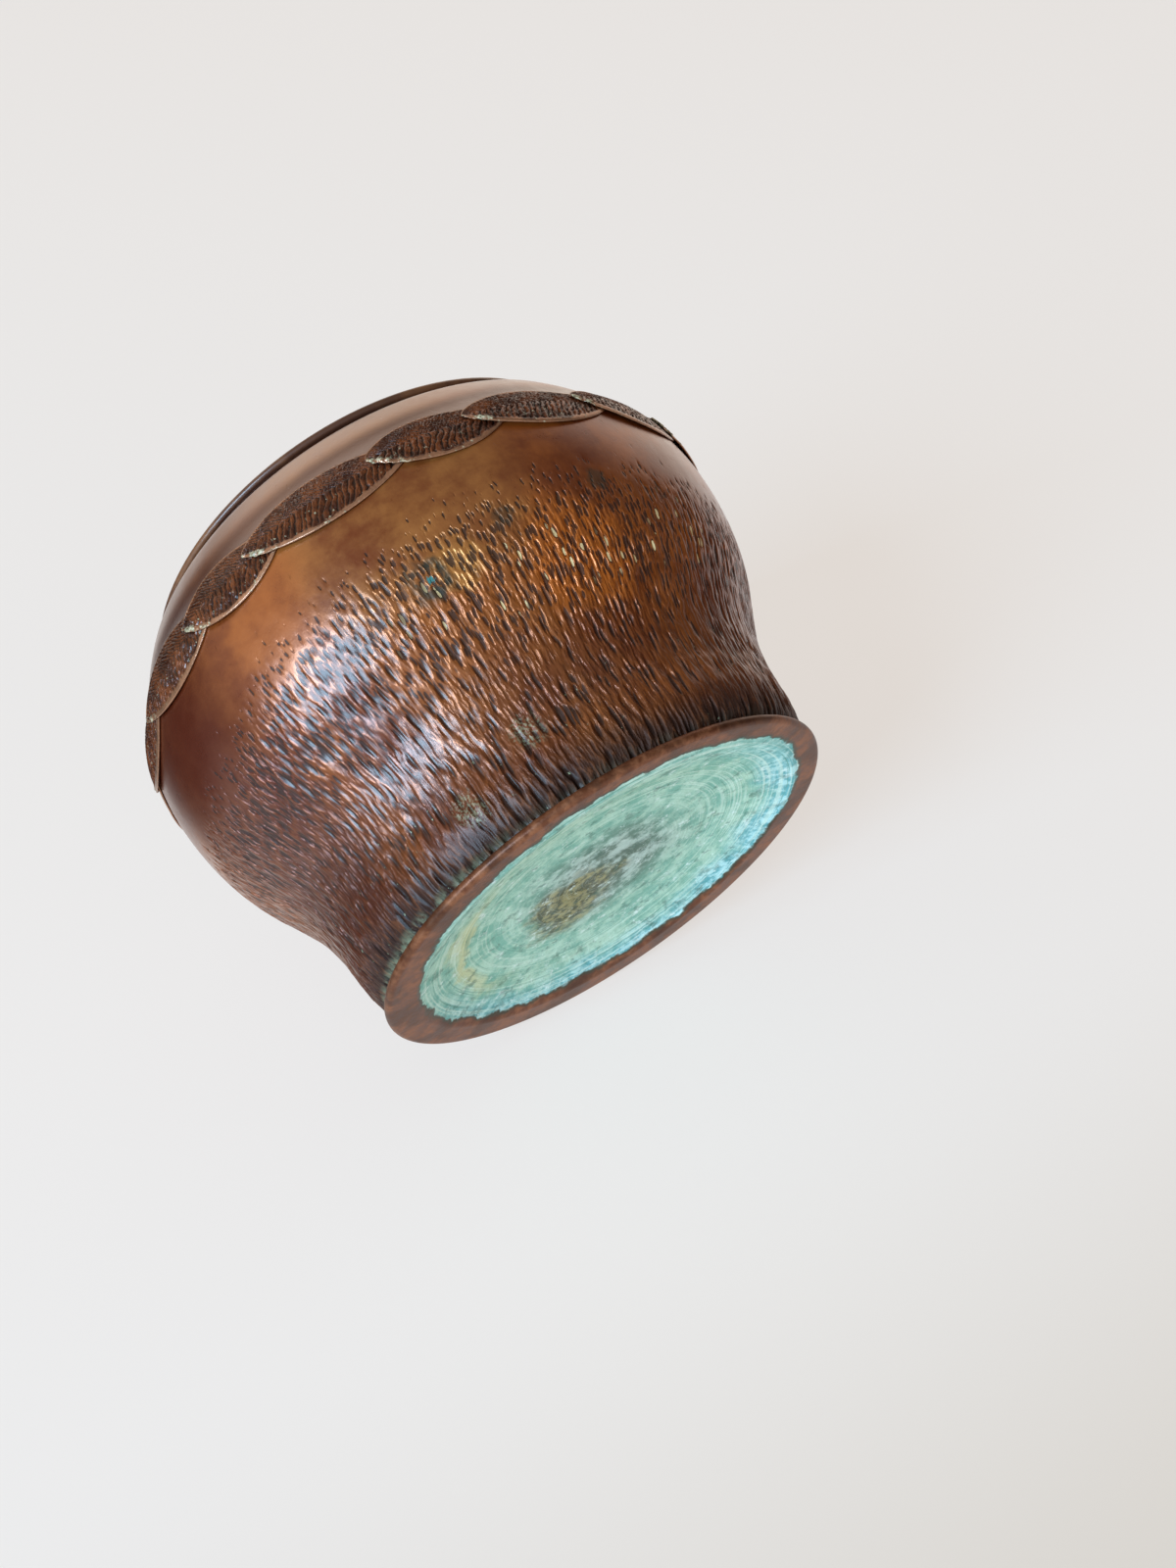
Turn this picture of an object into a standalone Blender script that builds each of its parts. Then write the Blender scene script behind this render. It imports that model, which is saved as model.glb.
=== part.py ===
"""Hammered copper bowl: a raised body on a folded base, a wired mouth and a garland of soldered leaves."""

import math

import bmesh
import bpy
from mathutils import Vector

MM = 0.001
AROUND = 48  # steps in one full turn of every turned piece

# Body: one raised sheet, measured on its outer face
BELLY_RADIUS = 100 * MM
BODY_SHEET = 1.0 * MM
LIP_SHEET = 0.5 * MM
NECK_RADIUS = 75.7 * MM

# Wired mouth: the sheet is curled round a wire
LIP_RADIUS = 79.2 * MM
LIP_HEIGHT = 139.25 * MM
WIRE_THICKNESS = 1.0 * MM
WIRE_GAP = 0.25 * MM
CURL_START = 185
CURL_END = 450
CURL_STEPS = 8

# Foot: the base sheet is folded over the body's turned-out flange
FOOT_RADIUS = 77.3 * MM
BASE_SHEET = 0.8 * MM
FOLD_RADIUS = 1.6 * MM
FOLD_LENGTH = 0.8 * MM
REST_INNER_RADIUS = 67.2 * MM
RECESS_DEPTH = 6.4 * MM
FOLD_STEPS = 6
SEAM_GAP = 0.3 * MM

# Leaves: thin cut sheets, each tip lying over the leaf before it
LEAF_COUNT = 17
LEAF_PITCHES = (22.0, 16.5, 24.7, 17.4, 22.2, 24.0)
FIRST_NOTCH = -52.0
TIP_REACH = 4.5
ROOT_REACH = 2.5
TIP_HEIGHT = 108.7 * MM
ROOT_HEIGHT = 106.0 * MM
LEAF_HALF_WIDTH = 9.0 * MM
LEAF_END_HALF_WIDTH = 0.6 * MM
LEAF_SHEET = 0.6 * MM
LEAF_GAP = 0.25 * MM
LEAF_COLUMNS = 10
LEAF_ROWS = 4


def wall_points():
    """Radius and height of the body's outer face, from the shoulder down to the groove over the foot."""
    shape = (
        (87.0, 131.0), (93.0, 119.5), (98.5, 108.0), (100.0, 96.0), (99.3, 84.0),
        (97.0, 72.0), (93.0, 60.5), (87.3, 49.5), (82.0, 38.5), (79.3, 27.0),
        (78.1, 15.0), (76.1, 7.0), (74.6, 4.2),
    )
    widest = max(radius for radius, _ in shape)
    return [Vector((radius / widest * BELLY_RADIUS, height * MM)) for radius, height in shape]


def arc(centre, radius, start, end, steps):
    """Points on a circle from one angle to another, both in degrees."""
    points = []
    for step in range(steps + 1):
        angle = math.radians(start + (end - start) * step / steps)
        points.append(centre + Vector((math.cos(angle), math.sin(angle))) * radius)
    return points


def behind(face, depths):
    """The line that runs behind a face line, at each point's own depth."""
    back = []
    for i, depth in enumerate(depths):
        along = face[min(i + 1, len(face) - 1)] - face[max(i - 1, 0)]
        along.normalize()
        back.append(face[i] + Vector((along.y, -along.x)) * depth)
    return back


def material(name, colour, roughness, metallic):
    """A Principled material with one colour."""
    made = bpy.data.materials.new(name)
    made.use_nodes = True
    shader = made.node_tree.nodes["Principled BSDF"]
    shader.inputs["Base Color"].default_value = (*colour, 1.0)
    shader.inputs["Roughness"].default_value = roughness
    shader.inputs["Metallic"].default_value = metallic
    made.diffuse_color = (*colour, 1.0)
    return made


def add_part(name, mesh, finish, group, parent):
    """Put a mesh in the group as a named part with its material."""
    part = bpy.data.objects.new(name, mesh)
    mesh.materials.append(finish)
    group.objects.link(part)
    part.parent = parent
    return part


def turned(name, outline, closed, finish, group, parent):
    """A piece of revolution: its outline stands at +X and a Screw modifier turns it about Z."""
    mesh = bpy.data.meshes.new(name)
    edges = [(i, i + 1) for i in range(len(outline) - 1)]
    if closed:
        edges.append((len(outline) - 1, 0))
    mesh.from_pydata([(point.x, 0.0, point.y) for point in outline], edges, [])
    part = add_part(name, mesh, finish, group, parent)
    screw = part.modifiers.new("turn", "SCREW")
    screw.axis = "Z"
    screw.angle = math.tau
    screw.steps = AROUND
    screw.render_steps = AROUND
    screw.use_merge_vertices = True
    screw.merge_threshold = 0.00001
    screw.use_smooth_shade = True
    return part


def lip_and_neck():
    """The outer face from the curl's free end, round the wire, over the flare and down the neck."""
    centre = Vector((LIP_RADIUS, LIP_HEIGHT))
    curl_radius = WIRE_THICKNESS / 2 + WIRE_GAP
    face = arc(centre, curl_radius, CURL_START, CURL_END, CURL_STEPS)
    top = centre.y + curl_radius
    for out, down in ((1.5, 0.1), (0.35, 0.8), (0.0, 2.0), (0.1, 3.1), (1.2, 4.0), (3.8, 4.6), (7.5, 6.4)):
        face.append(Vector((NECK_RADIUS + out * MM, top - down * MM)))
    return face


def make_body(finish, group, parent):
    """The raised sheet: thin where it curls round the wire, full thickness below, flanged at the foot."""
    lip = lip_and_neck()
    flange_top = FOLD_RADIUS + BODY_SHEET / 2
    fold_radius_centre = FOOT_RADIUS - FOLD_RADIUS
    flange = [
        Vector((fold_radius_centre - 1.3 * MM, flange_top + 0.8 * MM)),
        Vector((fold_radius_centre - 0.9 * MM, flange_top)),
        Vector((fold_radius_centre, flange_top)),
    ]
    face = lip + wall_points() + flange
    thinned = [LIP_SHEET] * (CURL_STEPS + 1)
    taper = [LIP_SHEET + (BODY_SHEET - LIP_SHEET) * step / 3 for step in (1, 2)]
    full = [BODY_SHEET] * (len(face) - len(thinned) - len(taper))
    outline = face + behind(face, thinned + taper + full)[::-1]
    return turned("bowl_body", outline, True, finish, group, parent)


def recess_height(radius):
    """Height of the base's dished underside: flat on the resting ring, domed up inside it."""
    inward = max(0.0, 1.0 - radius / REST_INNER_RADIUS)
    return RECESS_DEPTH * (1.0 - (1.0 - min(1.0, inward * 2.2)) ** 2)


def make_base(finish, group, parent):
    """The base disc: dished, flat where it rests, its edge folded up and over the body's flange."""
    centre = Vector((FOOT_RADIUS - FOLD_RADIUS, FOLD_RADIUS))
    fold_edge = centre.x - FOLD_LENGTH
    stations = [REST_INNER_RADIUS * share for share in (0.0, 0.35, 0.55, 0.7, 0.82, 0.91, 0.97, 1.0)]
    upper = [Vector((radius, recess_height(radius) + BASE_SHEET)) for radius in stations]
    inside_fold = arc(centre, FOLD_RADIUS - BASE_SHEET, -90, 90, FOLD_STEPS)
    inside_fold.append(Vector((fold_edge, centre.y + FOLD_RADIUS - BASE_SHEET)))
    outside_fold = [Vector((fold_edge, centre.y + FOLD_RADIUS))]
    outside_fold += arc(centre, FOLD_RADIUS, 90, -90, FOLD_STEPS)
    lower = [Vector((radius, recess_height(radius))) for radius in reversed(stations)]
    outline = upper + inside_fold + outside_fold + lower
    return turned("base_plate", outline, False, finish, group, parent)


def make_solder(finish, group, parent):
    """The fillet of soft solder that seals the inside corner between the wall and the base."""
    outer = FOOT_RADIUS - FOLD_RADIUS - BODY_SHEET - 1.65 * MM
    floor = BASE_SHEET + SEAM_GAP
    outline = [
        Vector((outer, floor + 2.6 * MM)),
        Vector((outer, floor)),
        Vector((outer - 2.6 * MM, floor)),
        Vector((outer - 0.9 * MM, floor + 0.9 * MM)),
    ]
    return turned("seam_solder", outline, True, finish, group, parent)


def make_wire(finish, group, parent):
    """The wire ring inside the curled lip."""
    bpy.ops.mesh.primitive_torus_add(
        major_segments=AROUND,
        minor_segments=6,
        major_radius=LIP_RADIUS,
        minor_radius=WIRE_THICKNESS / 2,
        location=(0.0, 0.0, LIP_HEIGHT),
    )
    wire = bpy.context.object
    wire.name = "mouth_wire"
    wire.data.name = "mouth_wire"
    wire.data.shade_smooth()
    wire.data.materials.append(finish)
    for collection in list(wire.users_collection):
        collection.objects.unlink(wire)
    group.objects.link(wire)
    wire.parent = parent
    return wire


def wall_at(height):
    """A point on the body's outer face at this height, and the face's outward direction there."""
    wall = wall_points()
    for i in range(1, len(wall) - 2):
        if wall[i + 1].y <= height:
            break
    before, upper, lower, after = wall[i - 1], wall[i], wall[i + 1], wall[i + 2]
    share = (upper.y - height) / (upper.y - lower.y)
    chord = lower.y - upper.y
    slope_upper = (lower.x - before.x) / (lower.y - before.y) * chord
    slope_lower = (after.x - upper.x) / (after.y - upper.y) * chord
    rise = 3 * share**2 - 2 * share**3
    radius = upper.x + (lower.x - upper.x) * rise
    radius += slope_upper * (share**3 - 2 * share**2 + share)
    radius += slope_lower * (share**3 - share**2)
    change = (lower.x - upper.x) * (6 * share - 6 * share**2)
    change += slope_upper * (3 * share**2 - 4 * share + 1)
    change += slope_lower * (3 * share**2 - 2 * share)
    outward = Vector((-chord, change)).normalized()
    return radius, outward


def make_leaf(number, tip, span, finish, group, parent):
    """One leaf: a sheet wrapped on the shoulder, high over its neighbour at the tip, low at the root."""
    mesh = bpy.data.meshes.new("leaf_%02d" % number)
    sheet = bmesh.new()
    bmesh.ops.create_grid(sheet, x_segments=LEAF_COLUMNS, y_segments=LEAF_ROWS, size=0.5)
    overlap = TIP_REACH + ROOT_REACH
    raised = 2 * LEAF_GAP + LEAF_SHEET
    for vertex in sheet.verts:
        along = vertex.co.x + 0.5
        across = vertex.co.y * 2
        centre = ROOT_HEIGHT + (TIP_HEIGHT - ROOT_HEIGHT) * (1 - along) ** 2
        half_width = max(LEAF_END_HALF_WIDTH, LEAF_HALF_WIDTH * abs(math.sin(math.pi * along)) ** 0.6)
        height = centre + across * half_width
        settle = min(1.0, max(0.0, (along * span - overlap) / (span - 2 * overlap)))
        lift = raised + (LEAF_GAP - raised) * settle
        radius, outward = wall_at(height)
        angle = math.radians(along * span)
        reach = radius + outward.x * lift
        vertex.co = (reach * math.sin(angle), -reach * math.cos(angle), height + outward.y * lift)
    sheet.to_mesh(mesh)
    sheet.free()
    mesh.shade_smooth()
    leaf = add_part("leaf_%02d" % number, mesh, finish, group, parent)
    leaf.rotation_euler.z = math.radians(tip)
    solidify = leaf.modifiers.new("sheet", "SOLIDIFY")
    solidify.thickness = LEAF_SHEET
    solidify.offset = 1.0
    return leaf


def make_garland(finish, group, parent):
    """All leaves, tip to root round the shoulder, with a hand-laid uneven pitch that closes the ring."""
    pitches = [LEAF_PITCHES[i % len(LEAF_PITCHES)] for i in range(LEAF_COUNT)]
    closing = 360.0 / sum(pitches)
    notch = FIRST_NOTCH
    for number, pitch in enumerate(pitches, start=1):
        span = TIP_REACH + pitch * closing + ROOT_REACH
        make_leaf(number, notch - TIP_REACH, span, finish, group, parent)
        notch += pitch * closing


for old in list(bpy.data.objects):
    bpy.data.objects.remove(old, do_unlink=True)

bowl = bpy.data.collections.new("hammered_copper_bowl")
bpy.context.scene.collection.children.link(bowl)
stand = bpy.data.objects.new("bowl_origin", None)
bowl.objects.link(stand)

make_body(material("hammered_copper", (0.22, 0.085, 0.028), 0.32, 1.0), bowl, stand)
make_base(material("verdigris_copper", (0.19, 0.50, 0.37), 0.75, 0.1), bowl, stand)
make_solder(material("soft_solder", (0.42, 0.42, 0.40), 0.5, 1.0), bowl, stand)
make_wire(material("brass_wire", (0.55, 0.38, 0.14), 0.4, 1.0), bowl, stand)
make_garland(material("leaf_copper", (0.16, 0.062, 0.022), 0.38, 1.0), bowl, stand)
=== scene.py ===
import math

import bpy
import numpy as np
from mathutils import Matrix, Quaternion, Vector


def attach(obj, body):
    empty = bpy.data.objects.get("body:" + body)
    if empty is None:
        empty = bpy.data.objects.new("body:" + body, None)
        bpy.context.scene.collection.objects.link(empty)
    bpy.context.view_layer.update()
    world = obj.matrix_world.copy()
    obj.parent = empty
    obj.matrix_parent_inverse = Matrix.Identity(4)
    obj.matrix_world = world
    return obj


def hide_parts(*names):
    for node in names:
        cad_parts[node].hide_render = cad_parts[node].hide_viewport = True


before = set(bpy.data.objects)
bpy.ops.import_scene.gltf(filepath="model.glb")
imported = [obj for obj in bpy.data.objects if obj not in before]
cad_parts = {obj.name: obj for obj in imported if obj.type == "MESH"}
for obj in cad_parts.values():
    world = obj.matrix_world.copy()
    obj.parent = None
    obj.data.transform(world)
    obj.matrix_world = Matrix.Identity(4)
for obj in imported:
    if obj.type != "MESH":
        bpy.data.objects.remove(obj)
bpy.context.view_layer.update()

# ---- The raised body -------------------------------------------------------------------------
# One sheet of copper, raised over stakes into a wall 1 mm thick, its lip curled over a wire and its
# foot turned out into a flange. The belly and foot are then struck all over with a narrow cross-peen
# hammer: short fine strokes below the leaves, long gouges at the foot. A dark brown patina is waxed on.

MM = 0.001
LIP_CENTRE = (79.2, 139.25)
CURL_RADIUS = 0.75
LIP_SHEET = 0.5
BODY_SHEET = 1.0
SWELL = 0.5
SWELL_START = 117.0
SWELL_RISE = 14.0
NECK = (
    (77.2, 139.9), (76.05, 139.2), (75.7, 138.0), (75.8, 136.9),
    (76.9, 136.0), (79.5, 135.4), (83.2, 133.6),
)
WALL = (
    (87.0, 131.0), (93.0, 119.5), (98.5, 108.0), (100.0, 96.0), (99.3, 84.0),
    (97.0, 72.0), (93.0, 60.5), (87.3, 49.5), (82.0, 38.5), (79.3, 27.0),
    (78.1, 15.0), (76.1, 7.0), (74.6, 4.2),
)
FLANGE = ((74.4, 2.9), (74.8, 2.1), (75.7, 2.1))
STRUCK_TOP = 89.0
SMOOTH_COLUMNS = 150
STRUCK_COLUMNS = 1200

STRIKES = {
    "Stroke width": 1.0 * MM,
    "Stroke length": 3.6 * MM,
    "Stroke depth": 0.30 * MM,
    "Chop width": 1.45 * MM,
    "Chop length": 7.6 * MM,
    "Chop depth": 0.40 * MM,
    "Gouge width": 2.0 * MM,
    "Gouge length": 10.5 * MM,
    "Gouge depth": 0.66 * MM,
}
STRIKE_SEED = 3.7
EVEN_RADIUS = 90 * MM
DEEPEST = 0.8 * MM
ROW_HEIGHTS = (49, 35, 24)
DENT_HALF_WIDTH = 2.0 * MM
DENT_HALF_HEIGHT = 4.2 * MM
DENT_DEPTH = 0.45 * MM


def arc(centre, radius, start, end, steps):
    """Points on a circle from one angle to another, both in degrees."""
    angles = np.radians(np.linspace(start, end, steps + 1))
    return np.array(centre) + radius * np.stack([np.cos(angles), np.sin(angles)], 1)


def smooth_line(points, steps):
    """A smooth curve through the points, with this many steps from each to the next."""
    held = np.array([points[0], *points, points[-1]], float)
    t = np.linspace(0, 1, steps, endpoint=False)[:, None]
    runs = []
    for a, b, c, d in zip(held, held[1:], held[2:], held[3:]):
        square = 2 * a - 5 * b + 4 * c - d
        cube = 3 * b - a - 3 * c + d
        runs.append(0.5 * (2 * b + (c - a) * t + square * t**2 + cube * t**3))
    return np.vstack(runs + [held[-1:]])


def picked(line, gaps):
    """Which points of a line to keep, so that neighbours stand about one gap apart."""
    kept = [0]
    walked = 0.0
    for i in range(1, len(line)):
        walked += float(np.linalg.norm(line[i] - line[i - 1]))
        if walked >= gaps[i] or i == len(line) - 1:
            kept.append(i)
            walked = 0.0
    return kept


def turned_shell(name, rows, counts):
    """A shell of revolution from a closed outline in mm. Each row has its own count of columns."""
    places = []
    for (radius, height), count in zip(rows, counts):
        angle = np.arange(count) * math.tau / count
        ring = np.stack([radius * np.sin(angle), -radius * np.cos(angle), np.full(count, height)], 1)
        places.append(ring)
    starts = np.concatenate([[0], np.cumsum(counts)])
    faces = []
    for i, here in enumerate(counts):
        k = (i + 1) % len(counts)
        there = counts[k]
        few = min(here, there)
        up, down = here // few, there // few
        for j in range(few):
            upper = [int(starts[i] + c % here) for c in range(j * up, (j + 1) * up + 1)]
            lower = [int(starts[k] + c % there) for c in range(j * down, (j + 1) * down + 1)]
            faces.append(upper[:1] + lower + upper[:0:-1])
    mesh = bpy.data.meshes.new(name)
    mesh.from_pydata((np.vstack(places) * MM).tolist(), [], faces)
    mesh.shade_smooth()
    return mesh


def mark_points(mesh, name, values):
    """Store one number for each point of a mesh."""
    layer = mesh.attributes.new(name, "FLOAT", "POINT")
    layer.data.foreach_set("value", np.asarray(values, np.float32))


def put(tree, kind, *sources, out=0, inputs=None, **settings):
    """Add a node, feed its inputs with numbers or other nodes' outputs, and return one output."""
    node = tree.nodes.new(kind)
    for name, value in settings.items():
        setattr(node, name, value)
    feeds = list(enumerate(sources)) + list((inputs or {}).items())
    for key, source in feeds:
        if isinstance(source, bpy.types.NodeSocket):
            tree.links.new(source, node.inputs[key])
        elif source is not None:
            node.inputs[key].default_value = source
    return node.outputs[out]


def stored(tree, name):
    """A number stored on the mesh's points."""
    if tree.type == "GEOMETRY":
        return put(tree, "GeometryNodeInputNamedAttribute", name, data_type="FLOAT")
    return put(tree, "ShaderNodeAttribute", out="Fac", attribute_name=name)


def calc(tree, operation, *values):
    """A sum on one or two numbers."""
    return put(tree, "ShaderNodeMath", *values, operation=operation)


def times(tree, *values):
    """All the values multiplied together."""
    product = values[0]
    for value in values[1:]:
        product = calc(tree, "MULTIPLY", product, value)
    return product


def ease(tree, value, low, high, to_low=0.0, to_high=1.0):
    """Pass smoothly from one number to another while the value goes from low to high."""
    return put(
        tree, "ShaderNodeMapRange", value, low, high, to_low, to_high, interpolation_type="SMOOTHSTEP"
    )


def blend(tree, share, first, second):
    """Mix two colours."""
    return put(
        tree, "ShaderNodeMix", out=2, data_type="RGBA", inputs={0: share, 6: first, 7: second}
    )


def cloud(tree, place, size, detail=3.0, roughness=0.55, shift=0.0, out=0):
    """Soft noise whose patches are about this size, in metres."""
    moved = put(tree, "ShaderNodeVectorMath", place, (shift, shift * 0.7, -shift), operation="ADD")
    feeds = {"Vector": moved, "Scale": 1.0 / size, "Detail": detail, "Roughness": roughness}
    return put(tree, "ShaderNodeTexNoise", out=out, inputs=feeds)


def either_way(tree, noise, reach):
    """Turn noise into a shift to either side."""
    return times(tree, calc(tree, "SUBTRACT", noise, 0.5), reach)


def bump(tree, height, strength=1.0, under=None):
    """Relief from a height in metres, laid over another normal where one is given."""
    feeds = {"Strength": strength, "Distance": 1.0, "Height": height, "Normal": under}
    return put(tree, "ShaderNodeBump", inputs=feeds)


def outward(tree, place):
    """The level direction from the axis out to the place."""
    level = put(tree, "ShaderNodeVectorMath", place, (1, 1, 0), operation="MULTIPLY")
    return put(tree, "ShaderNodeVectorMath", level, operation="NORMALIZE")


def unrolled(tree, place):
    """The place pushed out to one even radius, so that a mark keeps its shape on a sloping wall."""
    out = outward(tree, place)
    wide = put(tree, "ShaderNodeVectorMath", out, operation="SCALE", inputs={"Scale": EVEN_RADIUS})
    rise = put(tree, "ShaderNodeVectorMath", place, (0, 0, 1), operation="MULTIPLY")
    return put(tree, "ShaderNodeVectorMath", wide, rise, operation="ADD")


def facing(tree, place, azimuth):
    """How squarely the place faces an azimuth, from -1 to 1."""
    out = outward(tree, place)
    towards = (math.sin(math.radians(azimuth)), -math.cos(math.radians(azimuth)), 0)
    return put(tree, "ShaderNodeVectorMath", out, towards, operation="DOT_PRODUCT", out="Value")


def marks(tree, place, width, length, sway, seed):
    """One layer of hammer marks: how far from a mark's middle, and the mark's own random number."""
    shake = cloud(tree, place, sway * 3, 1.0, shift=seed, out="Color")
    shake = put(tree, "ShaderNodeVectorMath", shake, (0.5, 0.5, 0.5), operation="SUBTRACT")
    shake = put(tree, "ShaderNodeVectorMath", shake, operation="SCALE", inputs={"Scale": sway})
    bent = put(tree, "ShaderNodeVectorMath", place, shake, operation="ADD")
    narrow = calc(tree, "DIVIDE", 1.0, width)
    squeeze = put(tree, "ShaderNodeCombineXYZ", narrow, narrow, calc(tree, "DIVIDE", 1.0, length))
    cells = put(tree, "ShaderNodeVectorMath", bent, squeeze, operation="MULTIPLY")
    cells = put(tree, "ShaderNodeVectorMath", cells, (seed, -seed, seed * 2), operation="ADD")
    away = put(tree, "ShaderNodeTexVoronoi", inputs={"Vector": cells, "Scale": 1.0})
    return away, put(tree, "ShaderNodeSeparateXYZ", away.node.outputs["Color"])


def struck(tree, place, sizes, seed):
    """The hammering: its depth, how far down in a mark, how far below its start, the marks given painted
    glints.
    """
    wall = unrolled(tree, place)
    height = put(tree, "ShaderNodeSeparateXYZ", place, out="Z")
    stir = either_way(tree, cloud(tree, wall, 9 * MM, 2.0, shift=seed), 9 * MM)
    rough_height = calc(tree, "ADD", height, stir)
    start = times(tree, facing(tree, place, 15), 20 * MM)
    start = calc(tree, "MAXIMUM", calc(tree, "ADD", start, 67 * MM), 77 * MM)
    below = calc(tree, "SUBTRACT", start, rough_height)

    away, chance = marks(tree, wall, sizes["Stroke width"], sizes["Stroke length"], 1.3 * MM, seed)
    reach = ease(tree, below, 0.0, 20 * MM, 0.38, 0.80)
    rare = ease(tree, below, -3 * MM, 13 * MM, 1.0, -0.2)
    live = ease(tree, calc(tree, "SUBTRACT", chance, rare), -0.06, 0.10)
    fine = ease(tree, calc(tree, "DIVIDE", away, reach), 0.40, 0.95, 1.0, 0.0)
    force = ease(tree, chance, 0.0, 1.0, 0.55, 1.1)
    fine = times(tree, fine, live, force, ease(tree, rough_height, 34 * MM, 62 * MM, 0.55, 1.0))
    bright = times(tree, ease(tree, chance, 0.915, 0.935), ease(tree, fine, 0.88, 1.0))
    bright = times(tree, bright, ease(tree, height, 62 * MM, 76 * MM, 1.0, 0.0))

    away, chance = marks(tree, wall, sizes["Chop width"], sizes["Chop length"], 2.4 * MM, seed + 5)
    chop = ease(tree, away, 0.20, 0.64, 1.0, 0.0)
    force = ease(tree, chance, 0.1, 0.9, 0.4, 1.0)
    fade = ease(tree, rough_height, 54 * MM, 76 * MM, 1.0, 0.0)
    chop = times(tree, chop, force, fade, ease(tree, rough_height, 12 * MM, 26 * MM, 0.35, 1.0))

    away, chance = marks(tree, wall, sizes["Gouge width"], sizes["Gouge length"], 3.6 * MM, seed + 9)
    gouge = ease(tree, away, 0.20, 0.66, 1.0, 0.0)
    force = ease(tree, chance, 0.1, 0.9, 0.4, 1.0)
    gouge = times(tree, gouge, force, ease(tree, rough_height, 21 * MM, 33 * MM, 1.0, 0.0))

    depth = times(tree, fine, sizes["Stroke depth"])
    depth = calc(tree, "ADD", depth, times(tree, chop, sizes["Chop depth"]))
    depth = calc(tree, "ADD", depth, times(tree, gouge, sizes["Gouge depth"]))
    for row in ROW_HEIGHTS:
        off_row = calc(tree, "ABSOLUTE", calc(tree, "SUBTRACT", rough_height, row * MM))
        depth = times(tree, depth, ease(tree, off_row, 0.0, 1.8 * MM, 0.55, 1.0))
    sunk = calc(tree, "MAXIMUM", calc(tree, "MAXIMUM", fine, chop), gouge)
    return depth, sunk, below, bright


def open_tree(name, sizes):
    """A geometry tree that takes a sheet, these named sizes and a finish; also its input node."""
    tree = bpy.data.node_groups.new(name, "GeometryNodeTree")
    tree.interface.new_socket("Sheet", in_out="INPUT", socket_type="NodeSocketGeometry")
    for label, size in sizes.items():
        socket = tree.interface.new_socket(label, in_out="INPUT", socket_type="NodeSocketFloat")
        socket.default_value = size
    tree.interface.new_socket("Finish", in_out="INPUT", socket_type="NodeSocketMaterial")
    tree.interface.new_socket("Sheet", in_out="OUTPUT", socket_type="NodeSocketGeometry")
    return tree, tree.nodes.new("NodeGroupInput")


def close_tree(tree, given, rise):
    """Raise the sheet along its normals by this much, give it its finish, and pass it out."""
    normal = put(tree, "GeometryNodeInputNormal")
    push = put(tree, "ShaderNodeVectorMath", normal, operation="SCALE", inputs={"Scale": rise})
    moved = put(tree, "GeometryNodeSetPosition", given.outputs["Sheet"], inputs={"Offset": push})
    whole = put(tree, "GeometryNodeRealizeInstances", moved)
    done = put(tree, "GeometryNodeSetMaterial", whole, inputs={"Material": given.outputs["Finish"]})
    end = tree.nodes.new("NodeGroupOutput")
    tree.links.new(done, end.inputs[0])


def make_hammering():
    """A geometry tree that drives the struck part of the wall in along its normals."""
    tree, given = open_tree("hammering", STRIKES)
    sizes = {name: given.outputs[name] for name in STRIKES}
    place = put(tree, "GeometryNodeInputPosition")
    depth, _, _, _ = struck(tree, place, sizes, STRIKE_SEED)
    dent = put(tree, "ShaderNodeVectorMath", place, BIG_DENT, operation="SUBTRACT")
    shrink = (1 / DENT_HALF_WIDTH, 1 / DENT_HALF_WIDTH, 1 / DENT_HALF_HEIGHT)
    dent = put(tree, "ShaderNodeVectorMath", dent, shrink, operation="MULTIPLY")
    dent = put(tree, "ShaderNodeVectorMath", dent, operation="LENGTH", out="Value")
    depth = calc(tree, "ADD", depth, ease(tree, dent, 0.3, 1.0, DENT_DEPTH, 0.0))
    depth = calc(tree, "MINIMUM", depth, DEEPEST)
    close_tree(tree, given, times(tree, depth, stored(tree, "outside"), -1.0))
    return tree


def on_wall(azimuth, height):
    """A point on the body's outer face, in metres."""
    face = smooth_line(NECK + WALL, 12)
    radius = float(np.interp(-height, -face[:, 1], face[:, 0])) * MM
    angle = math.radians(azimuth)
    return Vector((radius * math.sin(angle), -radius * math.cos(angle), height * MM))


BIG_DENT = on_wall(-18.2, 41)


def worked(name, mesh, tree, sizes, finish):
    """Run a mesh through a geometry tree and keep the result as a plain mesh."""
    blank = bpy.data.objects.new(name + "_blank", mesh)
    bpy.context.collection.objects.link(blank)
    step = blank.modifiers.new("work", "NODES")
    step.node_group = tree
    for socket in tree.interface.items_tree:
        if socket.in_out == "INPUT" and socket.name in sizes:
            step[socket.identifier] = sizes[socket.name]
        if socket.in_out == "INPUT" and socket.socket_type == "NodeSocketMaterial":
            step[socket.identifier] = finish
    graph = bpy.context.evaluated_depsgraph_get()
    result = bpy.data.meshes.new_from_object(blank.evaluated_get(graph), depsgraph=graph)
    bpy.data.objects.remove(blank, do_unlink=True)
    piece = bpy.data.objects.new(name, result)
    result.name = name
    bpy.context.collection.objects.link(piece)
    return piece


def new_material(name, metallic, roughness):
    """An empty node material with its Principled shader and the object coordinates."""
    made = bpy.data.materials.new(name)
    made.use_nodes = True
    tree = made.node_tree
    shader = tree.nodes["Principled BSDF"]
    shader.inputs["Metallic"].default_value = metallic
    shader.inputs["Roughness"].default_value = roughness
    place = put(tree, "ShaderNodeTexCoord", out="Object")
    return made, tree, shader, place


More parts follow.
